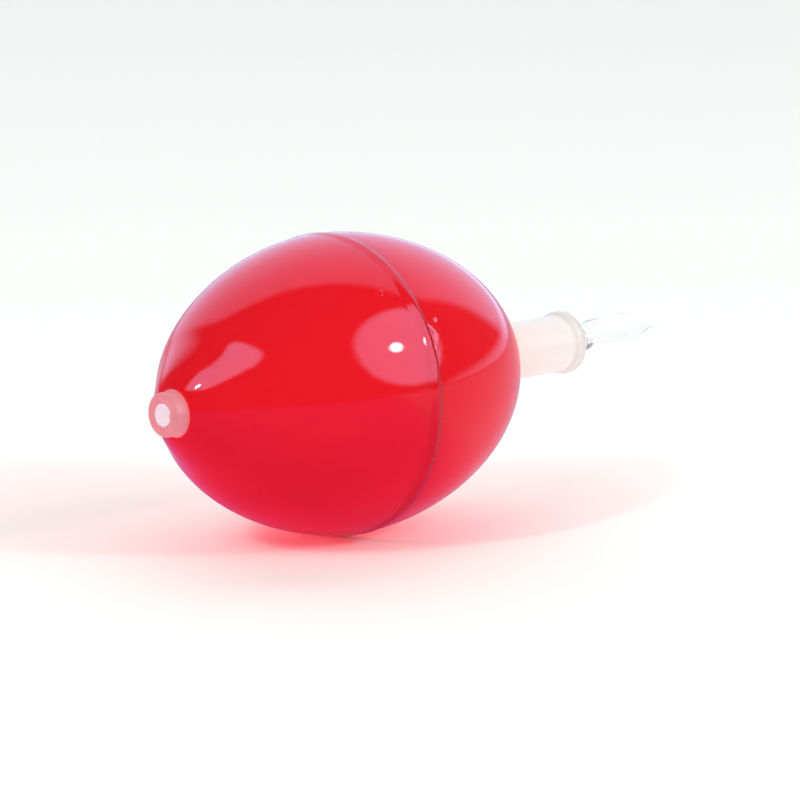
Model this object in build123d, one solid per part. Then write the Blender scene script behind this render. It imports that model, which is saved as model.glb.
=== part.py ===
"""Water-fillable egg bubble float for spin casting.

Two clear red shells are cemented together at the seam. A tapered line tube passes through both
of their ports and seals them by friction; pulled out to the rear, it opens the chamber for
water. A clear pin with a groove for the line is pushed into the tube from the rear and locks
the line.

The axis lies along X with the nose towards -X, and the seam plane is at x = 0, so the origin is
the middle of the egg.
"""

from build123d import *
from math import acos, cos, sin
import os

# ---- driving dimensions, in millimetres ----------------------------------------------------

# Egg
body_radius = 20.0  # outside, at the seam
front_length = 26.5  # seam plane to the front curve's own pole
rear_length = 29.1  # seam plane to rear pole
front_fullness = 1.72  # 2 makes an ellipse, less makes a more pointed end
rear_fullness = 1.91
tip_join_radius = 9.9  # ahead of this the front half runs on as a cone, to the port
wall = 1.1

# Seam: the front shell's rim is a socket with a raised lip, the rear shell's is a tongue
lip_height = 0.2  # above the egg
lip_land = 0.3  # level width next to the seam
lip_ramp = 1.7  # blend from the egg up to the land
lip_edge = 0.08  # rounding of the lip's edge
tongue_length = 1.8
cement_gap = 0.1  # between the shells, all over the joint
cement_leg = 0.3  # bead of cement in the corner behind the lip

# Ports: a plain edge at the front, a raised rim at the rear, and a sleeve inside each shell
port_clearance = 0.03  # radial, between port and tube
front_edge_width = 0.35
rear_rim_height = 0.3
rear_rim_width = 0.8
sleeve_length = 5.0  # from the port's outer face to the inner end
sleeve_wall = 1.2

# Line tube
nose_radius = 2.9
seat_step = 0.2  # radial, from the nose up to the seat in the front port
seat_lead = 0.25  # cone from the nose up to the seat, ahead of the port
seat_end = 0.5  # the seat runs this far past the front port's sleeve
tube_rear_radius = 3.95
tube_nose = 1.9  # ahead of the front port
tube_tail = 15.3  # behind the rear pole
tube_wall_front = 1.3
tube_wall_rear = 1.2
nose_edge = 0.45  # rounding of the outer edge at the nose
bore_mouth = 0.15  # chamfer of the bore at both ends
collar_height = 0.42  # finger collar at the tail
collar_width = 1.5
collar_ramp = 0.6

# Locking pin
pin_clearance = 0.05  # radial, at the tube's nose
pin_recess = 0.1  # tip, behind the tube's nose
pin_tip_edge = 0.2
shank_rear_radius = 1.7
groove_radius = 0.32  # line groove along the shank

# Pin grip: distances behind the tube's tail, and heights above the axis
shank_tail = 4.5
grip_start = 2.5
grip_tail = 18.0
grip_top = [(5.0, 2.3), (9.9, 2.65), (12.8, 2.45)]
grip_bottom = [(15.1, -0.9), (11.7, -1.15), (5.0, -0.8)]
grip_start_height = 1.2  # above and below the axis
grip_thickness = 2.4
grip_bevel = 0.55
point_start = 12.8  # where the thickness starts to fall
point_thickness = 0.5

# ---- derived places along the axis ---------------------------------------------------------

CURVE_SPANS = 9  # spans of the spline along one half of the egg


def along_egg(length, radius, fullness, at_radius):
    """Distance from the seam plane at which a half egg has a given radius."""
    return length * (1 - (at_radius / radius) ** 2) ** (1 / fullness)


def egg_fall(length, radius, fullness, at_x):
    """How fast a half egg's radius falls with distance from the seam plane, at at_x."""
    if at_x == 0:
        return 0.0
    share = (at_x / length) ** fullness
    return radius * fullness * share / at_x / 2 / (1 - share) ** 0.5


def along_tip(length, radius, join_radius, at_radius):
    """Distance from the seam plane at which the cone that runs on from the front half egg has a
    given radius."""
    join_x = along_egg(length, radius, front_fullness, join_radius)
    return join_x + (join_radius - at_radius) / egg_fall(length, radius, front_fullness, join_x)


seat_radius = nose_radius + seat_step
front_port_radius = seat_radius + port_clearance
front_edge_radius = front_port_radius + front_edge_width
rear_port_radius = tube_rear_radius + port_clearance
rear_rim_radius = rear_port_radius + rear_rim_width
front_face_x = -along_tip(front_length, body_radius, tip_join_radius, front_edge_radius)
rear_face_x = along_egg(rear_length, body_radius, rear_fullness, rear_rim_radius) + rear_rim_height
front_sleeve_x = front_face_x + sleeve_length
rear_sleeve_x = rear_face_x - sleeve_length

tube_nose_x = front_face_x - tube_nose
tube_tail_x = rear_length + tube_tail
cone_start_x = front_sleeve_x + seat_end
cone_rate = (tube_rear_radius - seat_radius) / (rear_face_x - cone_start_x)
bore_front_radius = nose_radius - tube_wall_front
bore_rear_radius = tube_rear_radius - tube_wall_rear

pin_tip_x = tube_nose_x + pin_recess
pin_tip_radius = bore_front_radius - pin_clearance
pin_end_x = tube_tail_x + grip_tail


# ---- helpers -------------------------------------------------------------------------------


def turned(edges):
    """Solid of a closed outline (distance along the axis, radius) turned once about the axis."""
    return revolve(Plane.XZ * make_face(edges), Axis.X, 360)


def egg_curve(side, length, radius, fullness, from_x, to_radius):
    """Smooth curve of a half egg from the distance from_x, near the seam, to a small radius.

    side is -1 for the front half and 1 for the rear half.
    """
    first = acos((1 - (from_x / length) ** fullness) ** 0.5)
    last = acos(to_radius / radius)
    places = []
    for step in range(CURVE_SPANS + 1):
        angle = first + (last - first) * step / CURVE_SPANS
        places.append((side * length * sin(angle) ** (2 / fullness), radius * cos(angle)))
    slope = (2 / fullness) * length * sin(last) ** (2 / fullness - 1) * cos(last)
    end = (side * slope, -radius * sin(last))
    return Spline(*places, tangents=[(side, -egg_fall(length, radius, fullness, from_x)), end])


def egg_radius(length, radius, fullness, at_x):
    """Radius of a half egg at a distance from the seam plane."""
    return radius * (1 - (at_x / length) ** fullness) ** 0.5


# ---- shells --------------------------------------------------------------------------------

tongue_radius = body_radius - wall / 2
socket_radius = tongue_radius + cement_gap
lip_radius = body_radius + lip_height
lip_start = lip_land + lip_ramp
inner_radius = body_radius - wall
socket_depth = tongue_length + cement_gap
rim_x = -cement_gap  # the front shell's rim face


def front_shell():
    """Nose half: egg wall with a conical tip, lip and socket at the seam, port with a sleeve."""
    start_radius = egg_radius(front_length, body_radius, front_fullness, lip_start)
    start_fall = egg_fall(front_length, body_radius, front_fullness, lip_start)
    outer = egg_curve(-1, front_length, body_radius, front_fullness, lip_start, tip_join_radius)
    inner_length = front_length - wall
    inner_join = tip_join_radius * inner_radius / body_radius
    inner = egg_curve(-1, inner_length, inner_radius, front_fullness, socket_depth, inner_join)
    sleeve_radius = front_port_radius + sleeve_wall
    ramp = Spline(
        (-lip_start, start_radius),
        (-lip_land, lip_radius),
        tangents=[(1, start_fall), (1, 0)],
    )
    land = Polyline((-lip_land, lip_radius), (rim_x - lip_edge, lip_radius))
    edge = RadiusArc(land @ 1, (rim_x, lip_radius - lip_edge), lip_edge)
    socket = Polyline(
        edge @ 1,
        (rim_x, socket_radius),
        (-socket_depth, socket_radius),
        inner @ 0,
    )
    tip = Polyline(
        inner @ 1,
        (-along_tip(inner_length, inner_radius, inner_join, sleeve_radius), sleeve_radius),
        (front_sleeve_x, sleeve_radius),
        (front_sleeve_x, front_port_radius),
        (front_face_x, front_port_radius),
        (front_face_x, front_edge_radius),
        outer @ 1,
    )
    return turned([outer, ramp, land, edge, socket, inner, tip])


def rear_shell():
    """Tail half: egg wall, tongue at the seam, tapered port with rim and inner sleeve."""
    outer = egg_curve(1, rear_length, body_radius, rear_fullness, 0, rear_rim_radius)
    inner_length = rear_length - wall
    sleeve_radius = rear_port_radius + sleeve_wall
    inner = egg_curve(1, inner_length, inner_radius, rear_fullness, 0, sleeve_radius)
    tongue = Polyline(
        outer @ 0,
        (0, tongue_radius),
        (-tongue_length, tongue_radius),
        (-tongue_length, inner_radius),
        inner @ 0,
    )
    port = Polyline(
        inner @ 1,
        (rear_sleeve_x, sleeve_radius),
        (rear_sleeve_x, rear_port_radius - cone_rate * sleeve_length),
        (rear_face_x, rear_port_radius),
        (rear_face_x, rear_rim_radius),
        outer @ 1,
    )
    return turned([outer, tongue, inner, port])


def seam_cement(front, rear):
    """What the tongue leaves free of the socket, filled, with a bead in the corner behind the lip."""
    bead = RadiusArc(
        (rim_x, body_radius + lip_height - lip_edge),
        (cement_leg, body_radius),
        -3 * cement_leg,
    )
    sides = Polyline(
        bead @ 1,
        (cement_leg, inner_radius),
        (-socket_depth, inner_radius),
        (-socket_depth, socket_radius),
        (rim_x, socket_radius),
        bead @ 0,
    )
    return turned([bead, sides]) - front - rear


# ---- line tube -----------------------------------------------------------------------------


def line_tube():
    """Tapered tube through both ports, with a finger collar round its tail."""
    collar_radius = tube_rear_radius + collar_height
    collar_start = tube_tail_x - collar_width
    nose = RadiusArc(
        (tube_nose_x, nose_radius - nose_edge),
        (tube_nose_x + nose_edge, nose_radius),
        nose_edge,
    )
    barrel = Polyline(
        nose @ 1,
        (front_face_x - seat_lead, nose_radius),
        (front_face_x, seat_radius),
        (cone_start_x, seat_radius),
        (rear_face_x, tube_rear_radius),
        (collar_start - collar_ramp, tube_rear_radius),
    )
    ramp = Spline(barrel @ 1, (collar_start, collar_radius), tangents=[(1, 0), (1, 0)])
    collar = Polyline(ramp @ 1, (tube_tail_x - collar_height, collar_radius))
    edge = RadiusArc(collar @ 1, (tube_tail_x, collar_radius - collar_height), collar_height)
    bore = Polyline(
        edge @ 1,
        (tube_tail_x, bore_rear_radius + bore_mouth),
        (tube_tail_x - bore_mouth, bore_rear_radius),
        (tube_nose_x + bore_mouth, bore_front_radius),
        (tube_nose_x, bore_front_radius + bore_mouth),
        nose @ 0,
    )
    return turned([nose, barrel, ramp, collar, edge, bore])


# ---- locking pin ---------------------------------------------------------------------------


def behind_tube(places):
    """Places given as distances behind the tube's tail, moved to where they are on the axis."""
    return [(tube_tail_x + distance, height) for distance, height in places]


def pin_shank():
    """Tapered round shank with a groove for the line along its side."""
    shank_end_x = tube_tail_x + shank_tail
    tip_edge = RadiusArc(
        (pin_tip_x, pin_tip_radius - pin_tip_edge),
        (pin_tip_x + pin_tip_edge, pin_tip_radius),
        pin_tip_edge,
    )
    sides = Polyline(
        tip_edge @ 1,
        (shank_end_x, shank_rear_radius),
        (shank_end_x, 0),
        (pin_tip_x, 0),
        tip_edge @ 0,
    )
    groove = Cylinder(
        groove_radius,
        tube_tail_x - pin_tip_x,
        rotation=(0, 90, 0),
        align=(Align.CENTER, Align.CENTER, Align.MIN),
    )
    return turned([tip_edge, sides]) - Pos(pin_tip_x, -pin_tip_radius, 0) * groove


def pin_grip():
    """Flat leaf with bevelled edges, mostly above the axis, that comes to a point on the axis."""
    start = [(grip_start, -grip_start_height), (grip_start, grip_start_height)]
    outline = behind_tube(start + grip_top + [(grip_tail, 0)] + grip_bottom)
    blade = Plane.XZ * make_face(Polyline(*outline, close=True))
    leaf = extrude(blade, grip_thickness / 2, both=True)
    leaf = chamfer(leaf.faces().filter_by(Axis.Y).edges(), grip_bevel)
    upper = [(0, grip_thickness), (point_start, grip_thickness / 2), (grip_tail, point_thickness / 2)]
    lower = [(distance, -half) for distance, half in reversed(upper)]
    from_above = Plane.XY * make_face(Polyline(*behind_tube(upper + lower), close=True))
    tallest = max(height for _, height in grip_top)
    return leaf & extrude(from_above, 2 * tallest, both=True)


def locking_pin():
    """Shank and grip, moulded in one."""
    return pin_shank() + pin_grip()


# ---- output --------------------------------------------------------------------------------

front = front_shell()
rear = rear_shell()
pieces = {
    "front_shell": front,
    "rear_shell": rear,
    "seam_cement": seam_cement(front, rear),
    "line_tube": line_tube(),
    "locking_pin": locking_pin(),
}

os.makedirs("parts", exist_ok=True)
for name, piece in pieces.items():
    export_step(piece, f"parts/{name}.step")
    print(name, "volume", round(piece.volume, 1), "mm3")
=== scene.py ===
"""Studio view of a water-fillable egg bubble float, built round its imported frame.

The float is two red shells cemented at a lapped seam, a milky line tube that slides in their
ports, and a clear locking pin with a leaf-shaped grip. Each sub-assembly is a class with its
sizes in millimetres; meshes are made in millimetres and written in metres. The axis lies along
X with the nose towards -X, and the seam plane is at x = 0.
"""

import logging
from dataclasses import dataclass, field
from enum import Enum
from math import acos, atan2, cos, dist, pi, radians, sin, sqrt, tan
from typing import Callable, Sequence

import bmesh
import bpy
import numpy as np
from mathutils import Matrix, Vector


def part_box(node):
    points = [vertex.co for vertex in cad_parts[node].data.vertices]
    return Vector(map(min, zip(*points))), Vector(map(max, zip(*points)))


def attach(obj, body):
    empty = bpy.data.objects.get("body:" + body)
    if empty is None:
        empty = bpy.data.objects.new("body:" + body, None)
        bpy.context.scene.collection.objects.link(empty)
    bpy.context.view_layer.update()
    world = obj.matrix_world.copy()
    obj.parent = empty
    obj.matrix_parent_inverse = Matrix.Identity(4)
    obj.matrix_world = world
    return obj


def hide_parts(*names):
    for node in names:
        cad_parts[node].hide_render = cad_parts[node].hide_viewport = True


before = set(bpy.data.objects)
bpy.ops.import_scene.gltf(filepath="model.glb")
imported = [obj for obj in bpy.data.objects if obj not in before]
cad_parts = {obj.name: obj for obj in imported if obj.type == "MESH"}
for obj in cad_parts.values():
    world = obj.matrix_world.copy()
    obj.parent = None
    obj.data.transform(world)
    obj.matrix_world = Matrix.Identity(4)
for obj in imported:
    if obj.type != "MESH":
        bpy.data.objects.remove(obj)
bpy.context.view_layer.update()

LOG = logging.getLogger("bubble_float")
MM = 0.001
EDGE_DEGREES, TURNED_DEGREES, SOFT_DEGREES = 30, 38, 60
ALONG = Vector((1, 0, 0))
SWELL_PEAK = 27 / 4  # brings the peak of s * s * (1 - s) to 1

Pair = tuple[float, float]
Point = tuple[float, float]
Colour = tuple[float, float, float]
Face = tuple[int, ...]
Piece = bpy.types.Object
Material = bpy.types.Material
Node = bpy.types.Node
Socket = bpy.types.NodeSocket
Grid = np.ndarray
Relief = Callable[[Grid, Grid, Grid], Grid]
Feed = Socket | float | Sequence[float]


class Body(Enum):
    """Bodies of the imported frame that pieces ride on."""

    SHELL = "shell"
    TUBE = "tube"
    PIN = "pin"


class Slot(Enum):
    """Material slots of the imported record."""

    SHELL = "shell"
    CEMENT = "cement"
    TUBE = "tube"
    PIN = "pin"


# ---- mesh tools ----


def rounded(corners: Sequence[tuple[float, float, float]], steps: int = 5) -> list[Point]:
    """Rounds the corners of an open outline.

    Args:
        corners: Distance along the axis, radius, and rounding of each corner, in millimetres.
        steps: Spans of each rounding.

    Returns:
        The outline's points.
    """
    points: list[Point] = []
    for place, (x, r, rounding) in enumerate(corners):
        if rounding == 0 or place in (0, len(corners) - 1):
            points.append((x, r))
            continue
        here = np.array((x, r))
        before = np.array(corners[place - 1][:2]) - here
        after = np.array(corners[place + 1][:2]) - here
        before, after = before / np.linalg.norm(before), after / np.linalg.norm(after)
        opening = acos(float(np.clip(before @ after, -1, 1)))
        reach = rounding / tan(opening / 2)
        middle = before + after
        centre = here + middle / np.linalg.norm(middle) * rounding / sin(opening / 2)
        first, last = here + before * reach - centre, here + after * reach - centre
        for step in range(steps + 1):
            mixed = first * (1 - step / steps) + last * (step / steps)
            x_r = centre + mixed / np.linalg.norm(mixed) * rounding
            points.append((float(x_r[0]), float(x_r[1])))
    return points


def quads(rows: int, columns: int, wrap_rows: bool, wrap_columns: bool) -> list[Face]:
    """Gives the four-cornered faces of a grid of vertices, counted row by row.

    Args:
        rows: Rows of vertices.
        columns: Vertices in a row.
        wrap_rows: Whether the last row joins the first.
        wrap_columns: Whether the last column joins the first.

    Returns:
        The vertex numbers of each face.
    """
    faces: list[Face] = []
    for row in range(rows if wrap_rows else rows - 1):
        here, there = row * columns, (row + 1) % rows * columns
        for column in range(columns if wrap_columns else columns - 1):
            right = (column + 1) % columns
            faces.append((here + column, here + right, there + right, there + column))
    return faces


def linked(name: str, data: bpy.types.ID) -> Piece:
    """Makes an object from its mesh, lamp or camera, and links it into the scene."""
    item = bpy.data.objects.new(name, data)
    bpy.context.scene.collection.objects.link(item)
    return item


def mesh_piece(name: str, places: Grid, faces: list[Face], sharp: float) -> Piece:
    """Makes a smooth-shaded object from places in millimetres.

    Args:
        name: Name of the piece.
        places: One row of x, y, z for each vertex, in millimetres.
        faces: Vertex numbers of each face.
        sharp: Degrees from which an edge is left sharp.

    Returns:
        The object, linked into the scene.
    """
    mesh = bpy.data.meshes.new(name)
    mesh.from_pydata((places * MM).tolist(), [], faces)
    tidy = bmesh.new()
    tidy.from_mesh(mesh)
    bmesh.ops.recalc_face_normals(tidy, faces=tidy.faces)
    tidy.to_mesh(mesh)
    tidy.free()
    mesh.shade_smooth()
    mesh.set_sharp_from_angle(angle=radians(sharp))
    return linked(name, mesh)


def turned(
    name: str,
    outline: Sequence[Point],
    segments: int,
    relief: Relief | None = None,
) -> Piece:
    """Turns a closed outline once about the axis.

    Args:
        name: Name of the piece.
        outline: Distance along the axis and radius of each point, in millimetres.
        segments: Faces round the axis.
        relief: Gives the radii again from distances, radii and angles, to raise or sink them.

    Returns:
        The object, linked into the scene.
    """
    rows = np.array(outline, float)
    angles = np.arange(segments) * 2 * pi / segments
    x = np.repeat(rows[:, :1], segments, axis=1)
    r = np.repeat(rows[:, 1:], segments, axis=1)
    turn = np.repeat(angles[None, :], len(rows), axis=0)
    if relief is not None:
        r = relief(x, r, turn)
    places = np.stack([x, r * np.cos(turn), r * np.sin(turn)], axis=-1).reshape(-1, 3)
    return mesh_piece(name, places, quads(len(rows), segments, True, True), TURNED_DEGREES)


def lofted(name: str, sections: Sequence[Grid], sharp: float) -> Piece:
    """Joins closed sections that have the same number of points, and closes both ends.

    Args:
        name: Name of the piece.
        sections: Arrays of x, y, z rows in millimetres, one for each section.
        sharp: Degrees from which an edge is left sharp.

    Returns:
        The object, linked into the scene.
    """
    count, rows = len(sections[0]), len(sections)
    ends = [tuple(range(count)), tuple(range((rows - 1) * count, rows * count))]
    faces = quads(rows, count, False, True) + ends
    return mesh_piece(name, np.concatenate(sections), faces, sharp)


@dataclass(frozen=True)
class Dome:
    """A low bump on a surface, in millimetres.

    Its width across is a share of its reach, and its rim swells and shrinks by its waviness.
    """

    reach: float
    top: float
    height: float
    width: float = 1.0
    waviness: float = 0.0
    steps: int = 8
    corners: int = 24

    def build(self, name: str, centre: Vector, outward: Vector, first: Vector) -> Piece:
        """Makes the bump.

        Args:
            name: Name of the piece.
            centre: Middle of its foot.
            outward: Direction in which it stands.
            first: Direction across it in which it has its reach.

        Returns:
            The object, linked into the scene.
        """
        second = outward.cross(first)
        turns = [2 * pi * corner / self.corners for corner in range(self.corners)]
        sections = []
        for step in range(self.steps + 1):
            climb = step / self.steps * pi / 2
            size = self.reach * cos(climb) + self.top
            middle = centre + outward * self.height * sin(climb)
            rim = []
            for turn in turns:
                out = first * cos(turn) + second * sin(turn) * self.width
                rim.append(tuple(middle + out * size * (1 + self.waviness * sin(2 * turn))))
            sections.append(np.array(rim))
        return lofted(name, sections, SOFT_DEGREES)


def applied(piece: Piece) -> None:
    """Replaces a piece's mesh by what its modifiers make of it, and drops them.

    Args:
        piece: The piece.
    """
    evaluated = piece.evaluated_get(bpy.context.evaluated_depsgraph_get())
    made = bpy.data.meshes.new_from_object(evaluated)
    piece.modifiers.clear()
    piece.data = made


def soften(piece: Piece, width: float) -> None:
    """Rounds the sharp edges of a piece a little.

    Args:
        piece: The piece.
        width: Width of the rounding, in millimetres.
    """
    bevel = piece.modifiers.new("edges", "BEVEL")
    bevel.width = width * MM
    bevel.segments = 2
    bevel.limit_method = "ANGLE"
    bevel.angle_limit = radians(EDGE_DEGREES)
    applied(piece)


def joined(name: str, first: Piece, second: Piece) -> Piece:
    """Joins two closed pieces into one skin.

    Args:
        name: Name of the whole.
        first: The piece that stays.
        second: The piece that is taken in and removed.

    Returns:
        The whole.
    """
    union = first.modifiers.new("union", "BOOLEAN")
    union.operation, union.solver, union.object = "UNION", "EXACT", second
    bpy.context.view_layer.update()
    applied(first)
    bpy.data.objects.remove(second)
    first.name = first.data.name = name
    first.data.shade_smooth()
    first.data.set_sharp_from_angle(angle=radians(EDGE_DEGREES))
    return first


def settle(piece: Piece, body: Body, slot: Slot, finish: Material, *nodes: str) -> None:
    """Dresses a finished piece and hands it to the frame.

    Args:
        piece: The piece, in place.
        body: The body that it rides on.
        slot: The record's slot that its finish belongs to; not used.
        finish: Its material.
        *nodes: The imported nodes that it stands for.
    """
    piece.data.materials.clear()
    piece.data.materials.append(finish)
    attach(piece, body.value)
    if nodes:
        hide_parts(*nodes)
    LOG.info("%s: %d faces, rides on %s", piece.name, len(piece.data.polygons), body.value)


# ---- finishes ----


@dataclass(frozen=True)
class Grain:
    """Noise in a surface.

    It has so many features to the metre, octaves, a weight of the finer ones, and a squeeze of
    its coordinates along the axis that draws it out.
    """

    scale: float
    detail: float = 3.0
    rough: float = 0.5
    squeeze: float = 1.0


@dataclass
class Mixer:
    """Adds nodes to one material or world and links them."""

    tree: bpy.types.NodeTree

    def add(self, kind: str, inputs: dict | None = None, **values: object) -> Node:
        """Adds a node.

        Args:
            kind: Blender's name for the node, without the leading ShaderNode.
            inputs: What each socket, by name or number, is linked to or set to.
            **values: Attributes to set on it.

        Returns:
            The node.
        """
        node = self.tree.nodes.new("ShaderNode" + kind)
        for key, value in values.items():
            setattr(node, key, value)
        for key, value in (inputs or {}).items():
            self.feed(node.inputs[key], value)
        return node

    def feed(self, socket: Socket, value: Feed) -> None:
        """Links a socket to another one, or sets it.

        Args:
            socket: The socket.
            value: The other socket, or a number, a colour or a direction.
        """
        if isinstance(value, Socket):
            self.tree.links.new(value, socket)
        else:
            socket.default_value = (*value, 1) if socket.type == "RGBA" else value

    def noise(self, where: Socket, grain: Grain) -> Socket:
        """Adds a noise texture.

        Args:
            where: Coordinates, in metres.
            grain: Its looks.

        Returns:
            Its value, about 0.5 in the mean.
        """
        if grain.squeeze != 1:
            mapping = self.add("Mapping", {"Vector": where, "Scale": (grain.squeeze, 1, 1)})
            where = mapping.outputs["Vector"]
        looks = {"Scale": grain.scale, "Detail": grain.detail, "Roughness": grain.rough}
        return self.add("TexNoise", {"Vector": where, **looks}).outputs["Fac"]

    def span(
        self, value: Socket, given: Pair, made: Pair = (0, 1), smooth: bool = False
    ) -> Socket:
        """Maps a range of values to another one, clamped.

        Args:
            value: The value.
            given: Both ends of its range.
            made: What they become.
            smooth: Whether the change eases in and out.

        Returns:
            The mapped value.
        """
        ends = zip(("From Min", "From Max", "To Min", "To Max"), (*given, *made))
        node = self.add("MapRange", {"Value": value, **dict(ends)})
        if smooth:
            node.interpolation_type = "SMOOTHSTEP"
        return node.outputs["Result"]

    def blend(self, factor: Socket, first: Feed, second: Feed) -> Socket:
        """Blends two colours by a factor."""
        return self.add("Mix", {0: factor, 6: first, 7: second}, data_type="RGBA").outputs[2]

    def maths(self, operation: str, first: Socket, second: Feed = 0.0) -> Socket:
        """Combines two values, or a value and a number."""
        return self.add("Math", {0: first, 1: second}, operation=operation).outputs[0]

    def along(self, direction: Socket, axis: Sequence[float]) -> Socket:
        """Gives a direction's share along an axis."""
        node = self.add("VectorMath", {0: direction, 1: axis}, operation="DOT_PRODUCT")
        return node.outputs["Value"]

    def bump(
        self, height: Socket, depth: float, strength: float, under: Socket | None = None
    ) -> Socket:
        """Adds a bump.

        Args:
            height: Height, from 0 to 1.
            depth: Height of 1, in metres.
            strength: Share of the bump that shows.
            under: Normal of a bump beneath this one.

        Returns:
            The new normal.
        """
        inputs = {"Distance": depth, "Strength": strength, "Height": height}
        if under is not None:
            inputs["Normal"] = under
        return self.add("Bump", inputs).outputs["Normal"]

    def shaders(self, factor: Feed, first: Node, second: Node) -> Node:
        """Mixes two shaders."""
        return self.add("MixShader", {0: factor, 1: first.outputs[0], 2: second.outputs[0]})

    def end(self, kind: str, surface: Node) -> None:
        """Ends the tree with a surface."""
        self.add(kind, {"Surface": surface.outputs[0]})

    def lamp_through(self, surface: Node, tint: Colour) -> None:
        """Ends a material with a surface that lets light from lamps through, tinted.

        Args:
            surface: What rays other than shadow rays meet.
            tint: Share of a lamp's light that each face of the wall passes.
        """
        clear = self.add("BsdfTransparent", {"Color": tint})
        shadow = self.add("LightPath").outputs["Is Shadow Ray"]
        self.end("OutputMaterial", self.shaders(shadow, surface, clear))


def new_material(name: str) -> tuple[Material, Mixer, Socket]:
    """Makes an empty node material.

    Args:
        name: Its name.

    Returns:
        The material, a mixer for its nodes, and its object coordinates.
    """
    material = bpy.data.materials.new(name)
    material.use_nodes = True
    material.node_tree.nodes.clear()
    mixer = Mixer(material.node_tree)
    return material, mixer, mixer.add("TexCoord").outputs["Object"]


@dataclass(frozen=True)
class RedShellPlastic:
    """Glossy, evenly tinted translucent red polystyrene of the two shells."""

    light_tint: Colour = (0.78, 0.0150, 0.0250)
    deep_tint: Colour = (0.735, 0.0130, 0.0235)
    glow_tint: Colour = (0.83, 0.018, 0.042)
    wall_tint: Colour = (0.95, 0.62, 0.70)
    glow: float = 0.36
    refraction: float = 1.5
    mirror: float = 0.36
    mirror_tint: Colour = (0.92, 0.90, 1.0)
    sheen: float = 0.34
    sheen_roughness: float = 0.3
    sheen_tint: Colour = (0.85, 0.84, 1.0)
    flow: Grain = Grain(55, 2, squeeze=0.35)
    flow_depth: float = 0.0006
    streak: Grain = Grain(420, 4, 0.6, 0.08)
    streak_roughness: Pair = (0.03, 0.07)
    scuff: Grain = Grain(900, 5, 0.65)
    scuff_roughness: float = 0.10
    mark_depth: float = 0.00001

    def make(self) -> Material:
        """Makes the material.

        Returns:
            The material.
        """
        material, mixer, where = new_material("red_shell_plastic")
        flow = mixer.noise(where, self.flow)
        streak = mixer.noise(where, self.streak)
        scuff = mixer.span(mixer.noise(where, self.scuff), (0.56, 0.78))
        depth = mixer.span(flow, (0.3, 0.7))
        waves = mixer.bump(flow, self.flow_depth, 0.25)
        marks = mixer.maths("ADD", streak, scuff)
        dull = mixer.span(streak, (0.3, 0.75), self.streak_roughness)
        worn = mixer.span(scuff, (0, 1), (0, self.scuff_roughness))
        plastic = mixer.add("BsdfPrincipled", {
            "Base Color": mixer.blend(depth, self.deep_tint, self.light_tint),
            "Roughness": mixer.maths("ADD", dull, worn),
            "Normal": mixer.bump(marks, self.mark_depth, 0.35, waves),
            "IOR": self.refraction,
            "Specular IOR Level": self.mirror,
            "Specular Tint": self.mirror_tint,
            "Sheen Weight": self.sheen,
            "Sheen Roughness": self.sheen_roughness,
            "Sheen Tint": self.sheen_tint,
        })
        glowing = mixer.add("BsdfTranslucent", {"Color": self.glow_tint})
        mixer.lamp_through(mixer.shaders(self.glow, plastic, glowing), self.wall_tint)
        return material


@dataclass(frozen=True)
class SolventCement:
    """Red cement with fine trapped bubbles. Its default dark tint also paints the shade of the
    seam's crevice, and the paler squeezed-out cement's tint is partly a painted highlight.
    """

    name: str = "cement_with_painted_seam_shade"
    # Dark default tint: real cement, darkened to paint the shade of the seam's crevice.
    body_tint: Colour = (0.42, 0.006, 0.018)
    bubble_tint: Colour = (0.50, 0.012, 0.028)
    lamp_tint: Colour = (0.9, 0.5, 0.55)
    bubbles_to_metre: float = 2600
    ripple: Grain = Grain(1500)
    ripple_depth: float = 0.00002
    gloss: Pair = (0.18, 0.42)

    def make(self) -> Material:
        """Makes the material.

        Returns:
            The material.
        """
        material, mixer, where = new_material(self.name)
        cells = mixer.add("TexVoronoi", {"Scale": self.bubbles_to_metre, "Vector": where})
        bubbles = mixer.span(cells.outputs["Distance"], (0.12, 0.3), (1, 0))
        ripple = mixer.noise(where, self.ripple)
        plastic = mixer.add("BsdfPrincipled", {
            "Base Color": mixer.blend(bubbles, self.body_tint, self.bubble_tint),
            "Roughness": mixer.span(ripple, (0.3, 0.7), self.gloss),
            "Normal": mixer.bump(ripple, self.ripple_depth, 0.4),
            "IOR": 1.5,
            "Specular IOR Level": 0.25,
        })
        mixer.lamp_through(plastic, self.lamp_tint)
        return material


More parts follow.
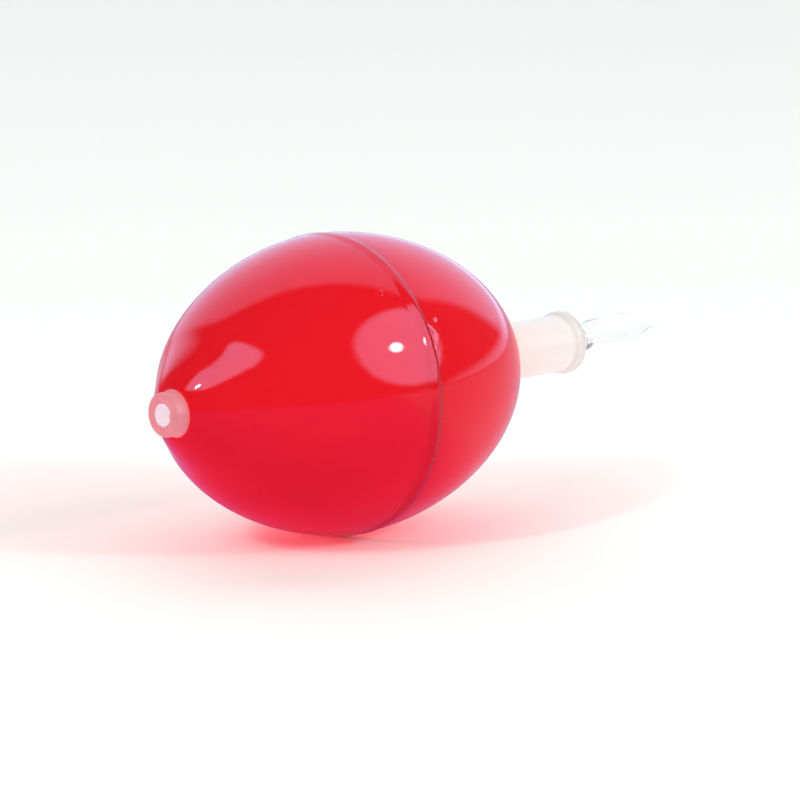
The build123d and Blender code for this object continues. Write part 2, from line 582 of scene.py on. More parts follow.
@dataclass(frozen=True)
class MilkyTubePlastic:
    """Hazy natural polyethylene, satin with fine draw lines.

    Near the nose its colour is a painted red glow, standing for the shell's red light passing into
    the tube, and the tail's rim is painted grey shade. The painted glow ends and the painted rim
    shade starts at so many metres from the tube's ends.
    """

    pale: Colour = (0.95, 0.925, 0.90)
    cloudy: Colour = (0.91, 0.88, 0.86)
    haze_tint: Colour = (0.86, 0.835, 0.815)
    # Painted red glow near the nose, standing for the shell's red light in the tube.
    nose_painted_glow_tint: Colour = (0.78, 0.42, 0.45)
    # Painted shade: darker grey on the tail's rim.
    rim_painted_shade_tint: Colour = (0.50, 0.44, 0.46)
    lamp_tint: Colour = (0.93, 0.91, 0.90)
    painted_glow_span: Pair = (0.002, 0.008)
    # Span of the painted rim shade, in metres from the tail.
    rim: Pair = (0.00028, 0.00012)
    cloud: Grain = Grain(300, squeeze=0.35)
    cloud_depth: float = 0.0002
    drawn: Grain = Grain(1900, 4, 0.6, 0.05)
    drawn_depth: float = 0.00002
    haze: Pair = (0.52, 0.64)
    gloss: Pair = (0.28, 0.38)

    def make(self, nose_x: float, tail_x: float) -> Material:
        """Makes the material.

        Args:
            nose_x: Where the nose is along the axis, in metres.
            tail_x: Where the tail is along the axis, in metres.

        Returns:
            The material.
        """
        material, mixer, where = new_material("milky_tube_plastic")
        cloud = mixer.noise(where, self.cloud)
        drawn = mixer.noise(where, self.drawn)
        clearing = mixer.span(cloud, (0.35, 0.65))
        waves = mixer.bump(cloud, self.cloud_depth, 0.08)
        plastic = mixer.add("BsdfPrincipled", {
            "Base Color": mixer.blend(clearing, self.cloudy, self.pale),
            "Roughness": mixer.span(drawn, (0.3, 0.7), self.gloss),
            "Normal": mixer.bump(drawn, self.drawn_depth, 0.15, waves),
            "IOR": 1.5,
            "Transmission Weight": 1.0,
        })
        x = mixer.add("SeparateXYZ", {0: where}).outputs["X"]
        # Mask of the painted red glow, fading out past the nose.
        past_nose = mixer.span(x, (nose_x + self.painted_glow_span[0], nose_x + self.painted_glow_span[1]))
        # Mask of the painted grey shade on the tail's rim.
        at_painted_rim_shade = mixer.span(x, (tail_x - self.rim[0], tail_x - self.rim[1]))
        # The nose end gets a painted red glow over the haze colour.
        painted_glow_colour = mixer.blend(past_nose, self.nose_painted_glow_tint, self.haze_tint)
        colour = mixer.blend(at_painted_rim_shade, painted_glow_colour, self.rim_painted_shade_tint)
        soft = mixer.add("BsdfTranslucent", {"Color": colour})
        matt = mixer.add("BsdfDiffuse", {"Color": colour})
        share = mixer.span(cloud, (0.3, 0.7), self.haze)
        hazy = mixer.shaders(share, plastic, mixer.shaders(0.5, soft, matt))
        mixer.lamp_through(hazy, self.lamp_tint)
        return material


@dataclass(frozen=True)
class ClearPinPlastic:
    """Water-clear polycarbonate, given a diffuse frosting on the trimmed tip; the frosting's
    pink-white colour is painted glow, standing for light piped along the pin through the red
    shell.

    The frosting fades out over a span of metres from the tip.
    """

    tint: Colour = (0.985, 0.985, 0.99)
    mirror_tint: Colour = (1.0, 0.8, 0.6)
    lamp_tint: Colour = (0.95, 0.95, 0.96)
    # Painted glow: pink-white colour of the tip's frosting.
    tip_frost_painted_glow: Colour = (1.0, 0.79, 0.88)
    fade: Pair = (0.00003, 0.00012)
    frosting_and_painted_glow: Pair = (0.9, 0.07)
    refraction: float = 1.52
    flow: Grain = Grain(500, squeeze=0.2)
    flow_depth: float = 0.00005
    gloss: Pair = (0.03, 0.10)

    def make(self, tip_x: float) -> Material:
        """Makes the material.

        Args:
            tip_x: Where the tip is along the axis, in metres.

        Returns:
            The material.
        """
        material, mixer, where = new_material("clear_pin_plastic")
        flow = mixer.noise(where, self.flow)
        plastic = mixer.add("BsdfPrincipled", {
            "Base Color": self.tint,
            "Roughness": mixer.span(flow, (0.35, 0.7), self.gloss),
            "Normal": mixer.bump(flow, self.flow_depth, 0.3),
            "IOR": self.refraction,
            "Specular IOR Level": 0.2,
            "Specular Tint": self.mirror_tint,
            "Transmission Weight": 1.0,
        })
        # The tip's frosting shows a painted glow.
        frosting_and_painted_glow = mixer.add("BsdfDiffuse", {"Color": self.tip_frost_painted_glow})
        x = mixer.add("SeparateXYZ", {0: where}).outputs["X"]
        near, far = self.fade
        at_tip = mixer.span(x, (tip_x + near, tip_x + far), self.frosting_and_painted_glow)
        mixer.lamp_through(mixer.shaders(at_tip, plastic, frosting_and_painted_glow), self.lamp_tint)
        return material


@dataclass(frozen=True)
class TableCard:
    """Matt white card with a faint tooth. Where something glossy mirrors it, it shows painted
    reflection colour instead: dark blue near the float as a painted shadow, light blue further off
    as a painted reflection tint.

    The painted reflection colour changes along a direction, over a span of metres from the float's
    middle.
    """

    white: Colour = (0.93, 0.945, 0.92)
    warm: Colour = (0.91, 0.925, 0.90)
    tooth: Grain = Grain(1400, 4)
    tooth_depth: float = 0.00005
    # Painted shadow and painted reflection tint, seen only in glossy reflections of the card.
    mirrored_painted_shadow: Colour = (0.05, 0.13, 0.75)
    mirrored_painted_tint: Colour = (0.32, 0.76, 1.0)
    mirrored_towards: Colour = (1.0, 0.25, 0.0)
    mirrored_span: Pair = (0.003, 0.028)

    def make(self) -> Material:
        """Makes the material.

        Returns:
            The material.
        """
        material, mixer, where = new_material("table_card")
        tooth = mixer.noise(where, self.tooth)
        card = mixer.add("BsdfPrincipled", {
            "Base Color": mixer.blend(tooth, self.warm, self.white),
            "Roughness": 0.9,
            "Normal": mixer.bump(tooth, self.tooth_depth, 0.2),
            "Specular IOR Level": 0.1,
        })
        behind = mixer.span(mixer.along(where, self.mirrored_towards), self.mirrored_span)
        colour = mixer.blend(behind, self.mirrored_painted_shadow, self.mirrored_painted_tint)
        # Painted reflection: this diffuse stands in for the card wherever glossy rays meet it.
        dull = mixer.add("BsdfDiffuse", {"Color": colour})
        path = mixer.add("LightPath").outputs
        mirrored = mixer.maths("SUBTRACT", path["Is Glossy Ray"], path["Is Transmission Ray"])
        mixer.end("OutputMaterial", mixer.shaders(mirrored, card, dull))
        return material


# ---- shells ----


@dataclass
class EggHalf:
    """Shape that both shells share, in millimetres."""

    length: float
    fullness: float
    side: int
    radius: float = 20.0
    wall: float = 1.1
    sleeve_length: float = 5.0
    sleeve_wall: float = 1.2
    spans: int = 72
    segments: int = 224

    def curve(self, from_x: float, to_radius: float, inset: float = 0.0) -> list[Point]:
        """Follows the half egg from near the seam to its pole.

        Args:
            from_x: Distance from the seam plane where the curve starts.
            to_radius: Radius where it ends.
            inset: Distance inside the outer surface.

        Returns:
            Places along the axis and radii.
        """
        length, radius = self.length - inset, self.radius - inset
        first = acos(sqrt(1 - (from_x / length) ** self.fullness))
        last = acos(to_radius / radius)
        points: list[Point] = []
        for step in range(self.spans + 1):
            angle = first + (last - first) * step / self.spans
            x = self.side * length * sin(angle) ** (2 / self.fullness)
            points.append((x, radius * cos(angle)))
        return points

    def spot(self, x: float, degrees: float) -> tuple[Vector, Vector]:
        """Finds a place on the outside.

        Args:
            x: Distance along the axis.
            degrees: Angle about the axis, from +Y towards +Z.

        Returns:
            The place and the outward direction.
        """
        share = (abs(x) / self.length) ** self.fullness
        radius = self.radius * sqrt(1 - share)
        slope = self.side * self.fullness * share / abs(x) * self.radius**2 / 2
        angle = radians(degrees)
        y, z = radius * cos(angle), radius * sin(angle)
        return Vector((x, y, z)), Vector((slope, y, z)).normalized()


@dataclass
class FrontHalf(EggHalf):
    """Nose shell: raised lip and socket at the seam, conical tip with the front port's sleeve.

    The tip swells out of its cone by its bulge, straight out and forwards in equal shares. The
    gate mark is a low dome left where the mould's gate was trimmed.
    """

    length: float = 26.5
    fullness: float = 1.72
    side: int = -1
    tip_join_radius: float = 9.9
    port_radius: float = 3.13
    edge_width: float = 0.35
    edge_rounding: float = 0.14
    lip_height: float = 0.12
    lip_land: float = 0.3
    lip_start: float = 2.0
    lip_edge: float = 0.06
    lip_spans: int = 8
    tip_bulge: float = 0.2
    tip_share: float = 0.7
    tip_spans: int = 24
    gate_x: float = -4.2
    gate_degrees: float = 133.0
    gate_sink: float = 0.03
    gate: Dome = Dome(0.5, 0.02, 0.09, width=0.7, steps=6, corners=28)
    rim_x: float = -0.1
    socket_radius: float = 19.55
    socket_depth: float = 1.9

    def outline(self) -> list[Point]:
        """Gives the closed outline of the wall.

        Returns:
            Its points.
        """
        face_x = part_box("front_shell")[0].x / MM
        sleeve_x = face_x + self.sleeve_length
        inner_join = self.tip_join_radius * (self.radius - self.wall) / self.radius
        outer = self.curve(self.lip_start, self.tip_join_radius)
        start_x, start_r = outer[0]
        join_x, join_r = outer[-1]
        edge_radius = self.port_radius + self.edge_width
        crown: list[Point] = []
        for step in range(1, self.tip_spans):
            share = step / self.tip_spans
            swell = SWELL_PEAK * share * share * (1 - share) * self.tip_bulge * self.tip_share
            x = join_x + (face_x - join_x) * share
            crown.append((x - swell, join_r + (edge_radius - join_r) * share + swell))
        lip_radius = self.radius + self.lip_height
        ramp: list[Point] = []
        for step in range(self.lip_spans):
            share = step / self.lip_spans
            ease = share * share * (3 - 2 * share)
            x = -self.lip_land + (start_x + self.lip_land) * share
            ramp.append((x, lip_radius + (start_r - lip_radius) * ease))
        lip = rounded([
            (-self.lip_land, lip_radius, 0),
            (self.rim_x, lip_radius, self.lip_edge),
            (self.rim_x, self.socket_radius, 0.05),
            (-self.socket_depth, self.socket_radius, 0),
        ])
        inner = self.curve(self.socket_depth, inner_join, self.wall)
        sleeve_radius = self.port_radius + self.sleeve_wall
        slope = (inner[-1][0] - inner[-2][0]) / (inner[-2][1] - inner[-1][1])
        tip = rounded([
            (*inner[-1], 0),
            (inner[-1][0] + slope * (inner_join - sleeve_radius), sleeve_radius, 0.3),
            (sleeve_x, sleeve_radius, 0.2),
            (sleeve_x, self.port_radius, 0.2),
            (face_x, self.port_radius, 0.06),
            (face_x, edge_radius, self.edge_rounding),
            (*crown[-1], 0),
        ])
        return outer[::-1] + ramp[::-1][:-1] + lip + inner[:-1] + tip[:-1] + crown[::-1]

    def build(self, finish: Material) -> None:
        """Makes the shell and its gate mark, and dresses them.

        Args:
            finish: Their material.
        """
        piece = turned("front_half", self.outline(), self.segments)
        place, outward = self.spot(self.gate_x, self.gate_degrees)
        centre, across = place - outward * self.gate_sink, outward.orthogonal().normalized()
        mark = self.gate.build("gate_mark", centre, outward, across)
        settle(mark, Body.SHELL, Slot.SHELL, finish)
        settle(piece, Body.SHELL, Slot.SHELL, finish, "front_shell")


@dataclass
class RearHalf(EggHalf):
    """Tail shell: tongue at the seam, tapered port with rim and sleeve at the tail."""

    length: float = 29.1
    fullness: float = 1.91
    side: int = 1
    port_radius: float = 3.98
    port_taper: float = 0.01666
    rim_width: float = 0.8
    rim_edge: float = 0.2
    rim_foot: float = 0.12
    tongue_radius: float = 19.45
    tongue_length: float = 1.8

    def outline(self) -> list[Point]:
        """Gives the closed outline of the wall.

        Returns:
            Its points.
        """
        face_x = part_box("rear_shell")[1].x / MM
        sleeve_x = face_x - self.sleeve_length
        rim_radius = self.port_radius + self.rim_width
        narrow = self.port_radius - self.port_taper * self.sleeve_length
        outer = self.curve(0.0, rim_radius + self.rim_foot)
        inner = self.curve(0.0, self.port_radius + self.sleeve_wall, self.wall)
        tongue = rounded([
            (0, self.radius, 0),
            (0, self.tongue_radius, 0),
            (-self.tongue_length, self.tongue_radius, 0.1),
            (-self.tongue_length, self.radius - self.wall, 0.1),
            (0, self.radius - self.wall, 0),
        ])
        port = rounded([
            (*inner[-1], 0),
            (sleeve_x, self.port_radius + self.sleeve_wall, self.rim_edge),
            (sleeve_x, narrow, self.rim_edge),
            (face_x, self.port_radius, 0.1),
            (face_x, rim_radius, self.rim_edge),
            (outer[-1][0] + 0.04, rim_radius, 0),
        ])
        return outer[::-1][:-1] + tongue + inner[1:-1] + port

    def build(self, finish: Material) -> None:
        """Makes the shell and dresses it in its finish."""
        piece = turned("rear_half", self.outline(), self.segments)
        settle(piece, Body.SHELL, Slot.SHELL, finish, "rear_shell")


# ---- seam ----


@dataclass
class SeamJoint:
    """Cement of the lapped seam: film, bead behind the lip, and a run that was squeezed out.

    The run lies between two angles from +Y towards +Z, with a blister at its top end.
    """

    radius: float = 20.0
    wall: float = 1.1
    tongue_radius: float = 19.45
    socket_radius: float = 19.55
    tongue_length: float = 1.8
    socket_depth: float = 1.9
    rim_x: float = -0.1
    leg: float = 0.34
    bulge: float = 0.08
    film_fit: float = 0.02
    run_degrees: Point = (149.5, 159.5)
    run_x: float = 1.15
    run_spans: int = 40
    run_corners: int = 14
    blister_turn: float = 1.2
    blister_x: float = 1.9
    blister_sink: float = 0.05
    blister: Dome = Dome(0.34, 0.01, 0.26, waviness=0.06)
    segments: int = 360

    def ring_outline(self) -> list[Point]:
        """Gives the closed outline of the film and its bead.

        Returns:
            Its points.
        """
        bead_heights = (
            (self.rim_x - 0.03, -0.2),
            (self.rim_x - 0.03, self.bulge * 1.2),
            (self.rim_x + 0.03, self.bulge * 1.1),
            (0.0, self.bulge * 0.9),
            (self.leg * 0.4, self.bulge * 0.5),
            (self.leg * 0.75, self.bulge * 0.2),
            (self.leg, -0.02),
            (self.leg * 0.5, -0.06),
            (0.02, -0.1),
        )
        bead = [(x, self.radius + height) for x, height in bead_heights]
        fit = self.film_fit
        outer, inner = self.tongue_radius + fit, self.radius - self.wall + fit
        end_x, bottom_x = -self.tongue_length - fit, -self.socket_depth + fit
        socket = self.socket_radius - fit
        film = [
            (fit, outer),
            (end_x, outer),
            (end_x, inner),
            (bottom_x, inner),
            (bottom_x, socket),
            (self.rim_x + fit, socket),
        ]
        return bead + film

    def uneven(self, x: Grid, r: Grid, turn: Grid) -> Grid:
        """Makes the bead fuller in some places than in others.

        Args:
            x: Distances along the axis.
            r: Radii.
            turn: Angles about the axis.

        Returns:
            The new radii.
        """
        swell = 0.5 + 0.28 * np.sin(3 * turn + 0.6) + 0.14 * np.sin(11 * turn + 2.0)
        swell += 0.08 * np.sin(37 * turn)
        loose = (r > self.radius + 0.005) & (x > -0.05)
        return np.where(loose, self.radius + (r - self.radius) * (0.35 + 0.6 * swell), r)

    def run(self) -> Piece:
        """Makes the squeezed-out run, a thin crescent on the rear shell behind the lip.

        Returns:
            The run.
        """
        low, high = (radians(a) for a in self.run_degrees)
        sections = []
        for step in range(self.run_spans + 1):
            share = step / self.run_spans
            angle = low + (high - low) * share
            body = sin(pi * share) ** 0.7
            half = 0.09 + 0.45 * body * (0.75 + 0.3 * sin(13 * share + 1))
            height = 0.04 + 0.15 * body * (0.85 + 0.3 * sin(21 * share))
            middle = 0.25 + self.run_x * body * (0.55 + 0.2 * sin(5 * share))
            rim = []
            for corner in range(self.run_corners):
                around = 2 * pi * corner / self.run_corners
                radius = self.radius - 0.03 + height * max(sin(around), -0.25)
                x = middle + half * cos(around)
                rim.append((x, radius * cos(angle), radius * sin(angle)))
            sections.append(np.array(rim))
        return lofted("seam_squeeze_out", sections, SOFT_DEGREES)

    def build(self, finish: Material, cement_painted_highlight: Material) -> None:
        """Makes the cement and dresses it.

        Args:
            finish: Material of the film and bead.
            cement_painted_highlight: Material of the squeezed-out cement.
        """
        ring = turned("seam_bead", self.ring_outline(), self.segments, self.uneven)
        settle(ring, Body.SHELL, Slot.CEMENT, finish, "seam_cement")
        # The run and its blister wear pale cement, partly a painted highlight.
        settle(self.run(), Body.SHELL, Slot.CEMENT, cement_painted_highlight)
        angle = radians(self.run_degrees[0] - self.blister_turn)
        outward = Vector((0, cos(angle), sin(angle)))
        centre = outward * (self.radius - self.blister_sink) + ALONG * self.blister_x
        blister = self.blister.build("seam_blister", centre, outward, ALONG)
        settle(blister, Body.SHELL, Slot.CEMENT, cement_painted_highlight)


# ---- line tube ----


@dataclass
class LineTube:
    """Tapered tube through both ports, with a finger collar round its tail."""

    nose_radius: float = 2.9
    seat_radius: float = 3.1
    seat_lead: float = 0.25
    cone_start_x: float = -22.51
    rear_radius: float = 3.95
    bore_front: float = 1.6
    bore_rear: float = 2.75
    nose_edge: float = 0.45
    bore_edge: float = 0.15
    collar_height: float = 0.42
    collar_width: float = 1.5
    collar_ramp: float = 0.6
    parting: float = 0.035
    parting_degrees: float = 1.5
    longest_run: float = 2.5
    segments: int = 144

    def outline(self) -> list[Point]:
        """Gives the closed outline of the tube's wall.

        Returns:
            Its points.
        """
        low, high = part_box("line_tube")
        nose_x, tail_x = low.x / MM, high.x / MM
        front_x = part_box("front_shell")[0].x / MM
        rear_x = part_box("rear_shell")[1].x / MM
        collar_x = tail_x - self.collar_width
        collar_radius = self.rear_radius + self.collar_height
        wall = rounded([
            (nose_x, self.bore_front + 0.6, 0),
            (nose_x, self.nose_radius, self.nose_edge),
            (front_x - self.seat_lead, self.nose_radius, 0.4),
            (front_x, self.seat_radius, 0.4),
            (self.cone_start_x, self.seat_radius, 0),
            (rear_x, self.rear_radius, 0),
            (collar_x - self.collar_ramp, self.rear_radius, 0.5),
            (collar_x, collar_radius, 0.5),
            (tail_x, collar_radius, self.collar_height),
            (tail_x, self.bore_rear, self.bore_edge),
            (nose_x, self.bore_front, self.bore_edge),
            (nose_x, self.bore_front + 0.6, 0),
        ], 7)
        return self.divided(wall[:-1])

    def divided(self, outline: list[Point]) -> list[Point]:
        """Divides the long runs of an outline, so that relief has points to move.

        Args:
            outline: The closed outline.

        Returns:
            The outline with more points.
        """
        points: list[Point] = []
        for (x, r), (after_x, after_r) in zip(outline, outline[1:] + outline[:1]):
            spans = max(1, int(dist((x, r), (after_x, after_r)) / self.longest_run))
            for step in range(spans):
                share = step / spans
                points.append((x + (after_x - x) * share, r + (after_r - r) * share))
        return points

    def relief(self, x: Grid, r: Grid, turn: Grid) -> Grid:
        """Raises the mould's parting lines along the free part of the tail.

        Args:
            x: Distances along the axis.
            r: Radii.
            turn: Angles about the axis.

        Returns:
            The new radii.
        """
        rear_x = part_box("rear_shell")[1].x / MM
        tail_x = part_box("line_tube")[1].x / MM
        ramp_x = tail_x - self.collar_width - self.collar_ramp
        free = (x > rear_x + 0.3) & (x < ramp_x) & (r > self.rear_radius - 0.01)
        ridge = np.abs(np.cos(turn)) > cos(radians(self.parting_degrees))
        return np.where(free & ridge, r + self.parting, r)

    def build(self, finish: MilkyTubePlastic) -> None:
        """Makes the tube and dresses it.

        Args:
            finish: Its finish.
        """
        low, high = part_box("line_tube")
        piece = turned("tube_body", self.outline(), self.segments, self.relief)
        settle(piece, Body.TUBE, Slot.TUBE, finish.make(low.x, high.x), "line_tube")


# ---- locking pin ----


@dataclass
class LockingPin:
    """Clear pin: tapered shank with a groove for the line, and a flat leaf with bevelled edges."""

    tip_radius: float = 1.55
    tip_edge: float = 0.2
    shank_rear_radius: float = 1.7
    shank_tail: float = 4.5
    groove_radius: float = 0.32
    grip_start: float = 2.5
    start_height: float = 1.2
    top: Sequence[Point] = ((5.0, 2.3), (9.9, 2.65), (12.8, 2.45))
    point: Point = (18.0, 0.0)
    bottom: Sequence[Point] = ((15.1, -0.9), (11.7, -1.15), (5.0, -0.8))
    thickness: float = 2.4
    bevel: float = 0.55
    point_start: float = 12.8
    point_thickness: float = 0.5
    edge_rounding: float = 0.1
    round_spans: int = 60
    groove_spans: int = 12
    tip_spans: int = 6
    shank_spans: int = 24

    def section(self, x: float, radius: float, grooved: float) -> Grid:
        """Gives one section of the shank.

        Args:
            x: Place along the axis.
            radius: The shank's radius there.
            grooved: Share of the groove's depth there.

        Returns:
            Rows of x, y, z.
        """
        centre, groove = -self.tip_radius, self.groove_radius * max(grooved, 0.02)
        reach = (radius**2 + centre**2 - groove**2) / (2 * radius * abs(centre))
        half = acos(min(max(reach, -1), 1))
        rows = []
        for step in range(self.round_spans + 1):
            angle = pi + half + (2 * pi - 2 * half) * step / self.round_spans
            rows.append((x, radius * cos(angle), radius * sin(angle)))
        first, last = (atan2(row[2], row[1] - centre) for row in (rows[-1], rows[0]))
        for step in range(1, self.groove_spans):
            angle = first + (last - first) * step / self.groove_spans
            rows.append((x, centre + groove * cos(angle), groove * sin(angle)))
        return np.array(rows)

    def shank(self, tail_x: float) -> Piece:
        """Makes the shank.

        Args:
            tail_x: Where the tube ends along the axis.

        Returns:
            The shank, not yet joined to the leaf.
        """
        tip_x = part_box("locking_pin")[0].x / MM
        end_x = tail_x + self.shank_tail
        rear = self.shank_rear_radius
        slope = (rear - self.tip_radius) / (end_x - tip_x)
        sections = []
        for step in range(self.tip_spans, -1, -1):
            angle = step / self.tip_spans * pi / 2
            x = tip_x + self.tip_edge * (1 - sin(angle))
            radius = self.tip_radius - self.tip_edge * (1 - cos(angle))
            sections.append(self.section(x, radius, 1))
        for step in range(1, self.shank_spans + 1):
            share = step / self.shank_spans
            x = tip_x + self.tip_edge + (tail_x - tip_x - self.tip_edge) * share
            sections.append(self.section(x, self.tip_radius + slope * (x - tip_x), 1))
        for share in (0.35, 0.8, 1.0):
            sections.append(self.section(tail_x + share, rear - 0.012, 1 - share))
        sections += [self.section(end_x - 0.3, rear, 0), self.section(end_x, rear - 0.25, 0)]
        return lofted("pin_shank", sections, 35)

    def leaf(self, tail_x: float) -> Piece:
        """Makes the leaf.

        Args:
            tail_x: Where the tube ends along the axis.

        Returns:
            The leaf, not yet joined to the shank.
        """
        start = [(self.grip_start, -self.start_height), (self.grip_start, self.start_height)]
        outline = [*start, *self.top, self.point, *self.bottom]
        shape = bmesh.new()
        half = self.thickness / 2
        near = [shape.verts.new((tail_x + x, -half, z)) for x, z in outline]
        far = [shape.verts.new((tail_x + x, half, z)) for x, z in outline]
        shape.faces.new(near)
        shape.faces.new(far[::-1])
        for place in range(len(outline)):
            after = (place + 1) % len(outline)
            shape.faces.new((near[place], far[place], far[after], near[after]))
        bmesh.ops.recalc_face_normals(shape, faces=shape.faces)
        flat = [e for e in shape.edges if abs(e.verts[0].co.y - e.verts[1].co.y) < 1e-6]
        bmesh.ops.bevel(
            shape, geom=flat, offset=self.bevel, segments=1, profile=0.5, affect="EDGES"
        )
        run = self.point[0] - self.point_start
        fall = half - self.point_thickness / 2
        for side in (-1, 1):
            bmesh.ops.bisect_plane(
                shape,
                geom=[*shape.verts, *shape.edges, *shape.faces],
                plane_co=(tail_x + self.point_start, side * half, 0),
                plane_no=(fall, side * run, 0),
                clear_outer=True,
            )
            bmesh.ops.holes_fill(shape, edges=[e for e in shape.edges if e.is_boundary])
        bmesh.ops.remove_doubles(shape, verts=shape.verts, dist=0.003)
        bmesh.ops.recalc_face_normals(shape, faces=shape.faces)
        bmesh.ops.scale(shape, vec=(MM, MM, MM), verts=shape.verts)
        mesh = bpy.data.meshes.new("pin_leaf")
        shape.to_mesh(mesh)
        shape.free()
        return linked("pin_leaf", mesh)

    def build(self, finish: ClearPinPlastic) -> None:
        """Makes the pin in one piece and dresses it.

        Args:
            finish: Its finish.
        """
        tip_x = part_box("locking_pin")[0].x
        tail_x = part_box("line_tube")[1].x / MM
        leaf = self.leaf(tail_x)
        soften(leaf, self.edge_rounding)
        pin = joined("pin_body", self.shank(tail_x), leaf)
        settle(pin, Body.PIN, Slot.PIN, finish.make(tip_x), "locking_pin")


# ---- studio ----


SIDEWAYS = 0.02


@dataclass(frozen=True)
class RoomWindow:
    """A bright soft-edged opening of the room, seen from the float in one direction.

    Its squareness is 2 for an oval and more for squarer corners. Its softness is a share of its
    half width.
    """

    towards: Sequence[float]
    upright: Sequence[float]
    half_width: float
    half_height: float
    squareness: float
    softness: float
    radiance: float
    mirrored: float

    def shine(self, mixer: Mixer, direction: Socket, glossy: Socket) -> Socket:
        """Adds the nodes that tell how bright the window is in a direction.

        Args:
            mixer: The world's nodes.
            direction: The direction.
            glossy: 1 for a ray that a glossy surface mirrors, else 0.

        Returns:
            Its radiance there.
        """
        middle = Vector(self.towards).normalized()
        across = Vector(self.upright).cross(middle).normalized()
        above = middle.cross(across)
        ahead = mixer.along(direction, middle)
        nearest = mixer.maths("MAXIMUM", ahead, SIDEWAYS)
        powers = []
        for axis, half in ((across, self.half_width), (above, self.half_height)):
            offset = mixer.maths("DIVIDE", mixer.along(direction, axis), nearest)
            share = mixer.maths("DIVIDE", mixer.maths("ABSOLUTE", offset), half)
            powers.append(mixer.maths("POWER", share, self.squareness))
        out = mixer.maths("POWER", mixer.maths("ADD", *powers), 1 / self.squareness)
        edge = mixer.span(out, (1 - self.softness, 1 + self.softness), (1, 0), True)
        inside = mixer.maths("MULTIPLY", edge, mixer.span(ahead, (SIDEWAYS, 0.12)))
        level = mixer.span(glossy, (0, 1), (self.radiance, self.mirrored))
        return mixer.maths("MULTIPLY", inside, level)


@dataclass
class Bulb:
    """One small bright lamp, aimed at the float."""

    name: str
    direction: Sequence[float]
    distance: float
    width: float
    radiance: float

    def place(self) -> None:
        """Hangs the lamp and aims it."""
        lamp = bpy.data.lights.new(self.name, "AREA")
        lamp.shape = "DISK"
        lamp.size = self.width
        lamp.energy = self.radiance * (pi * self.width / 2) ** 2
        light = linked(self.name, lamp)
        towards = Vector(self.direction).normalized()
        light.location = towards * self.distance
        light.rotation_mode = "QUATERNION"
        light.rotation_quaternion = towards.to_track_quat("Z", "Y")


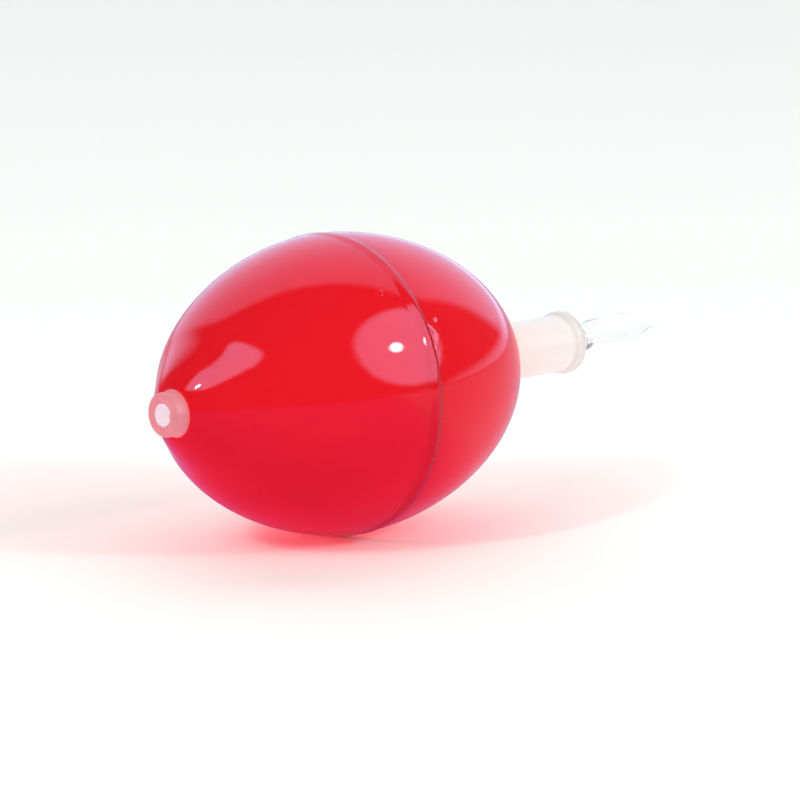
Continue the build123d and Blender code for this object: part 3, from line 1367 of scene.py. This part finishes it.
@dataclass
class Studio:
    """White table, room, lamps and the camera.

    The room's level is its dim part's radiance, plain and where something glossy mirrors it.
    """

    azimuth: float = -44.3
    elevation: float = 11.2
    distance: float = 0.501
    aside: Point = (0.00834, -0.00158)
    lens: float = 171.0
    shift: Point = (0.00375, -0.005)
    table_reach: float = 6.0
    table_cells: int = 24
    backdrop: Colour = (0.99, 1.0, 0.96)
    room_level: Point = (0.25, 0.04)
    mirrored_tint: Colour = (0.34, 0.68, 1.0)
    windows: Sequence[RoomWindow] = (
        RoomWindow((0.62, 0.60, 0.72), (0, 0, 1), 0.98, 0.82, 4.0, 0.12, 1.06, 2.5),
        RoomWindow((0.405, -0.755, 0.47), (0.1, 0.2, 1), 0.44, 0.46, 2.2, 0.10, 1.9, 7.0),
        RoomWindow(
            (-0.707, -0.031, 0.714), (0.729, -0.073, 0.682), 0.31, 0.165, 3.0, 0.18, 4.2, 8.0
        ),
        RoomWindow((0.95, 0.15, -0.10), (0, 0, 1), 1.3, 0.17, 3.0, 0.25, 0.0, 2.5),
    )
    bulbs: Sequence[Bulb] = (
        Bulb("right_bulb", (0.31, -0.809, 0.50), 0.9, 0.10, 72.0),
        Bulb("left_bulb", (-0.776, -0.019, 0.631), 0.9, 0.06, 190.0),
    )

    def lay_table(self, finish: Material) -> None:
        """Lays the table under the float.

        Args:
            finish: Its material.
        """
        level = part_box("front_shell")[0].z / MM
        reach, count = self.table_reach / MM, self.table_cells + 1
        line = np.linspace(-reach, reach, count)
        places = np.array([(x, y, level) for y in line for x in line])
        table = mesh_piece("table", places, quads(count, count, False, False), EDGE_DEGREES)
        table.data.materials.append(finish)

    def set_world(self) -> None:
        """Makes the room: dim, with bright windows that mirrored rays see at another level."""
        world = bpy.data.worlds.new("room")
        world.use_nodes = True
        world.node_tree.nodes.clear()
        mixer = Mixer(world.node_tree)
        towards = mixer.add("TexCoord").outputs["Generated"]
        path = mixer.add("LightPath").outputs
        glossy = path["Is Glossy Ray"]
        shine = mixer.span(glossy, (0, 1), self.room_level)
        for window in self.windows:
            shine = mixer.maths("ADD", shine, window.shine(mixer, towards, glossy))
        tint = mixer.blend(glossy, (1.0, 1.0, 1.0), self.mirrored_tint)
        room = mixer.add("Background", {"Color": tint, "Strength": shine})
        backdrop = mixer.add("Background", {"Color": self.backdrop})
        through = mixer.maths("SUBTRACT", path["Is Transmission Ray"], path["Is Diffuse Ray"])
        seen = mixer.maths("MAXIMUM", path["Is Camera Ray"], through)
        mixer.end("OutputWorld", mixer.shaders(seen, room, backdrop))
        bpy.context.scene.world = world

    def set_camera(self) -> None:
        """Sets the camera up."""
        azimuth, elevation = radians(self.azimuth), radians(self.elevation)
        back = Vector((
            sin(azimuth) * cos(elevation),
            -cos(azimuth) * cos(elevation),
            sin(elevation),
        ))
        right = (-back).cross(Vector((0, 0, 1))).normalized()
        up = right.cross(-back)
        camera = linked("camera", bpy.data.cameras.new("camera"))
        camera.location = back * self.distance + right * self.aside[0] + up * self.aside[1]
        camera.rotation_mode = "QUATERNION"
        camera.rotation_quaternion = (-back).to_track_quat("-Z", "Y")
        camera.data.lens = self.lens
        camera.data.sensor_width = 36.0
        camera.data.shift_x, camera.data.shift_y = self.shift
        camera.data.clip_start, camera.data.clip_end = 0.01, 30
        bpy.context.scene.camera = camera

    def set_up(self) -> None:
        """Lays the table, hangs the lights and sets the camera."""
        self.lay_table(TableCard().make())
        for bulb in self.bulbs:
            bulb.place()
        self.set_world()
        self.set_camera()
        scene = bpy.context.scene
        scene.view_settings.view_transform = "Standard"
        scene.view_settings.look = "None"
        scene.view_settings.exposure = 0.0
        LOG.info("studio: %d windows, %d bulbs", len(self.windows), len(self.bulbs))


# ---- the whole float ----


@dataclass
class BubbleFloat:
    """The whole float."""

    front: FrontHalf = field(default_factory=FrontHalf)
    rear: RearHalf = field(default_factory=RearHalf)
    seam: SeamJoint = field(default_factory=SeamJoint)
    tube: LineTube = field(default_factory=LineTube)
    pin: LockingPin = field(default_factory=LockingPin)

    def build(self) -> None:
        """Builds every sub-assembly in order."""
        red = RedShellPlastic().make()
        self.front.build(red)
        self.rear.build(red)
        # Squeezed-out cement: pale pink, partly a painted highlight on the run.
        cement_painted_highlight = SolventCement("pale_cement_painted_highlight", (0.74, 0.10, 0.16), (0.95, 0.42, 0.50))
        self.seam.build(SolventCement().make(), cement_painted_highlight.make())
        self.tube.build(MilkyTubePlastic())
        self.pin.build(ClearPinPlastic())


def main() -> None:
    """Builds the float and its studio."""
    logging.basicConfig(level=logging.INFO, format="%(name)s: %(message)s")
    BubbleFloat().build()
    Studio().set_up()


if __name__ == "__main__":
    main()
